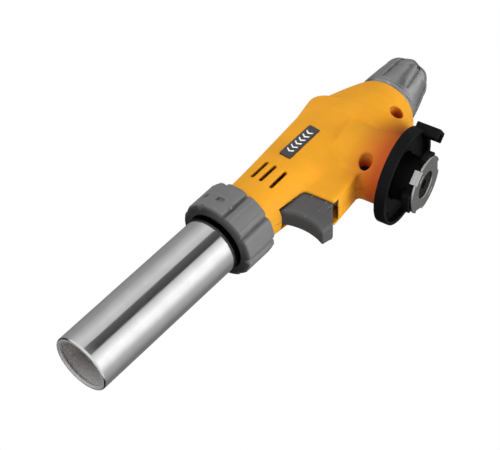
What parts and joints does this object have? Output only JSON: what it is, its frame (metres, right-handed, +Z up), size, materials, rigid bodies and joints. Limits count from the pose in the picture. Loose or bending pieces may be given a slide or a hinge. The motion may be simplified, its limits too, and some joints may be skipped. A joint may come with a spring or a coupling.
{
  "type": "gas torch head",
  "caption": "Hand-held gas torch head for a bayonet butane can: steel flame tube, twist collar, trigger igniter, gas knob and can guide ring in a yellow casing.",
  "frame": {"origin": "on the can's axis, in the plane of the guide ring's rim that meets the can's flange", "axes": "+Z up the can's axis and away from the can, +X the way the flame goes, +Y towards the badge side"},
  "size_m": [0.2039, 0.0418, 0.0827],
  "materials": {
    "polished_steel": "polished stainless steel",
    "grey_grip": "moulded, fine satin",
    "cast_alloy": "as cast",
    "brass": "turned",
    "spring_steel": "drawn",
    "ceramic": "glazed",
    "yellow_casing": "moulded, fine satin",
    "badge_plate": "printed foil on plastic",
    "black_screw": "black oxide",
    "grey_trigger": "moulded, fine satin",
    "white_plastic": "moulded",
    "wire_sleeve": "silicone sleeve",
    "seal_rubber": "moulded rubber",
    "grey_knob": "moulded, semi-gloss",
    "copper": "drawn copper",
    "black_plastic": "moulded, satin",
    "nickel_plate": "pressed, nickel plated"
  },
  "bodies": {
    "torch_body": {"flame_tube": "polished_steel", "tube_holder": "cast_alloy", "burner_tube": "brass", "flame_holder": "brass", "mixing_tube": "brass", "gas_jet": "brass", "jet_holder": "brass", "electrode": "spring_steel", "insulator": "ceramic", "housing_right": "yellow_casing", "housing_left": "yellow_casing", "badge": "badge_plate", "housing_screws": "black_screw", "piezo_body": "white_plastic", "ignition_wire": "wire_sleeve", "valve_body": "cast_alloy", "gland_nut": "brass", "gas_pipe": "copper", "boss": "black_plastic", "seat_plate": "nickel_plate", "stem_seal": "seal_rubber", "inlet_nozzle": "brass", "wave_washer": "spring_steel"},
    "collar": {"collar": "grey_grip"},
    "trigger": {"trigger": "grey_trigger", "piezo_plunger": "white_plastic"},
    "guide_ring": {"guide_ring": "black_plastic"},
    "needle_seal": {"spindle_seal": "seal_rubber"},
    "knob": {"knob": "grey_knob", "knob_insert": "brass", "valve_spindle": "brass"}
  },
  "joints": [
    {"name": "collar_turn", "type": "hinge", "parent": "torch_body", "child": "collar", "pos_m": [0.0674, 0, 0.0506], "axis": [0.988, 0, 0.1547], "range_deg": [0, 60]},
    {"name": "trigger_pull", "type": "slide", "parent": "torch_body", "child": "trigger", "axis": [-1, 0, 0], "range_m": [0, 0.004], "stiffness_N_per_m": 3000, "springref_m": -0.001},
    {"name": "guide_ring_turn", "type": "hinge", "parent": "torch_body", "child": "guide_ring", "pos_m": [0, 0, 0], "axis": [0, 0, 1], "range_deg": [0, 34]},
    {"name": "needle_advance", "type": "slide", "parent": "torch_body", "child": "needle_seal", "axis": [-1, 0, 0], "range_m": [0, 0.00075]},
    {"name": "knob_turn", "type": "hinge", "parent": "needle_seal", "child": "knob", "pos_m": [-0.045, 0, 0.0281], "axis": [-1, 0, 0], "range_deg": [0, 270]}
  ],
  "couplings": [
    {"joint": "knob_turn", "follows": "needle_advance", "rad_per_m": 6283.2}
  ]
}
